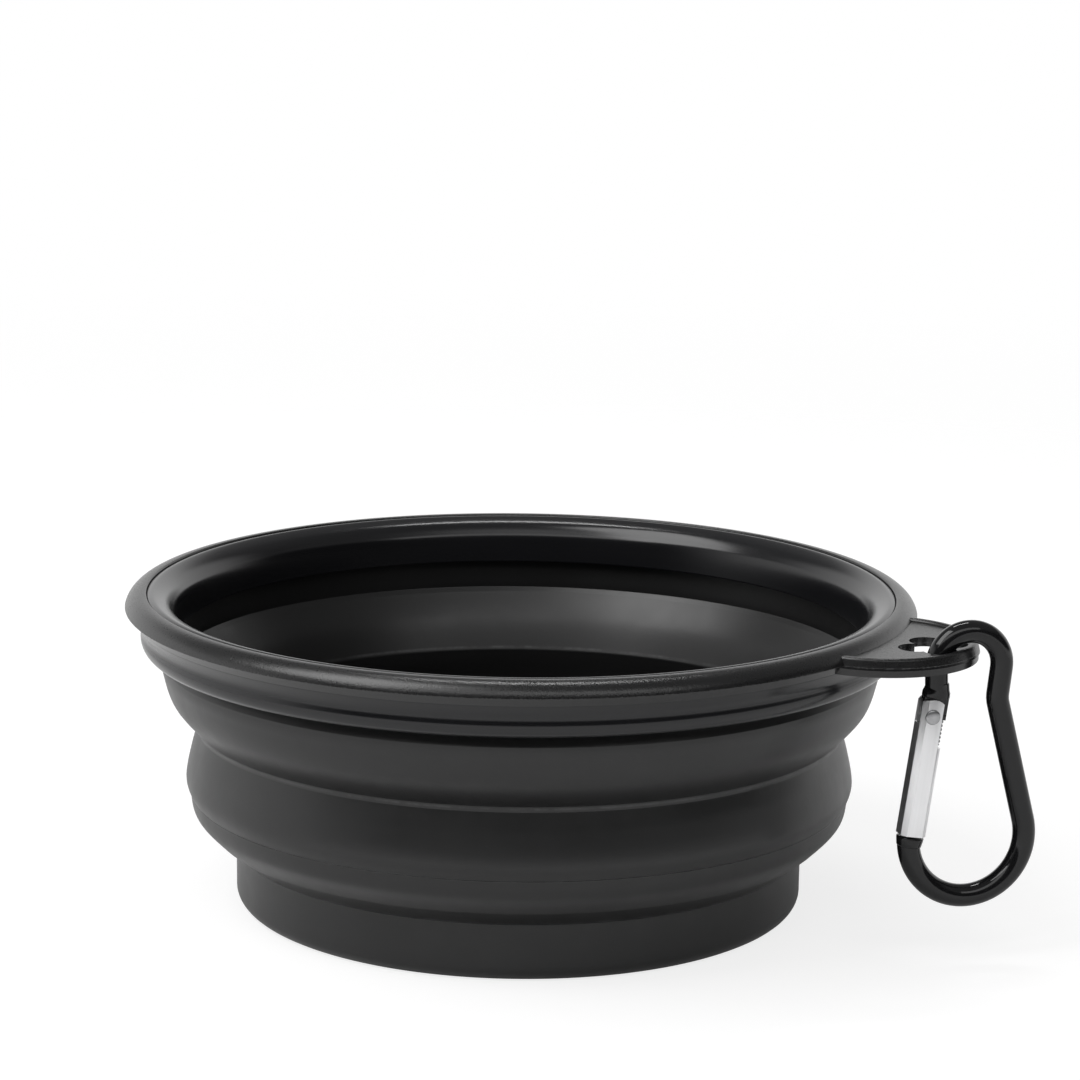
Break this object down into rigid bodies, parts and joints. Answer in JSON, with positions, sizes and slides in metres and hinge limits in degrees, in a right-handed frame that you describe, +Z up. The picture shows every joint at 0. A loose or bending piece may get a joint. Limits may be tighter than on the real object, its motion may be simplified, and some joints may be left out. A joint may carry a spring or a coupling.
{
  "type": "collapsible silicone bowl",
  "caption": "Round silicone bowl that folds flat into its rigid rim, with a hang tab and a snap hook to carry it by.",
  "frame": {"origin": "centre of the underside of the base, on the bowl's axis", "axes": "+Z up the bowl's axis towards the mouth, +X from the axis towards the hang tab"},
  "size_m": [0.1523, 0.13, 0.0556],
  "materials": {
    "ring_plastic": "fine texture",
    "frame_plastic": "satin",
    "silicone": "matte",
    "hook_metal": "gloss black",
    "gate_metal": "brushed",
    "rivet_metal": "plain",
    "spring_wire": "plain"
  },
  "bodies": {
    "rim": {"rim_ring": "ring_plastic", "rim_frame": "frame_plastic", "upper_fold": "silicone"},
    "middle": {"middle_band": "silicone", "lower_fold": "silicone"},
    "base": {"base_cup": "silicone"},
    "hook": {"carabiner_frame": "hook_metal", "gate_rivet": "rivet_metal"},
    "gate": {"carabiner_gate": "gate_metal", "gate_spring": "spring_wire"}
  },
  "joints": [
    {"name": "middle_fold", "type": "slide", "parent": "rim", "child": "middle", "axis": [0, 0, 1], "range_m": [0, 0.0192], "deforming": ["upper_fold"]},
    {"name": "base_fold", "type": "slide", "parent": "middle", "child": "base", "axis": [0, 0, 1], "range_m": [0, 0.0192], "deforming": ["lower_fold"]},
    {"name": "hook_swing", "type": "hinge", "parent": "rim", "child": "hook", "pos_m": [0.07765, 0.00065, 0.04837], "axis": [0.6428, -0.766, 0], "range_deg": [-8, 150]},
    {"name": "gate_open", "type": "hinge", "parent": "hook", "child": "gate", "pos_m": [0.07271, -0.0035, 0.04077], "axis": [0.6428, -0.766, 0], "range_deg": [0, 25], "stiffness_Nm_per_rad": 0.06, "springref_deg": -14.32, "deforming": ["gate_spring"]}
  ],
  "couplings": [
    {"joint": "base_fold", "follows": "middle_fold", "ratio": 1}
  ]
}
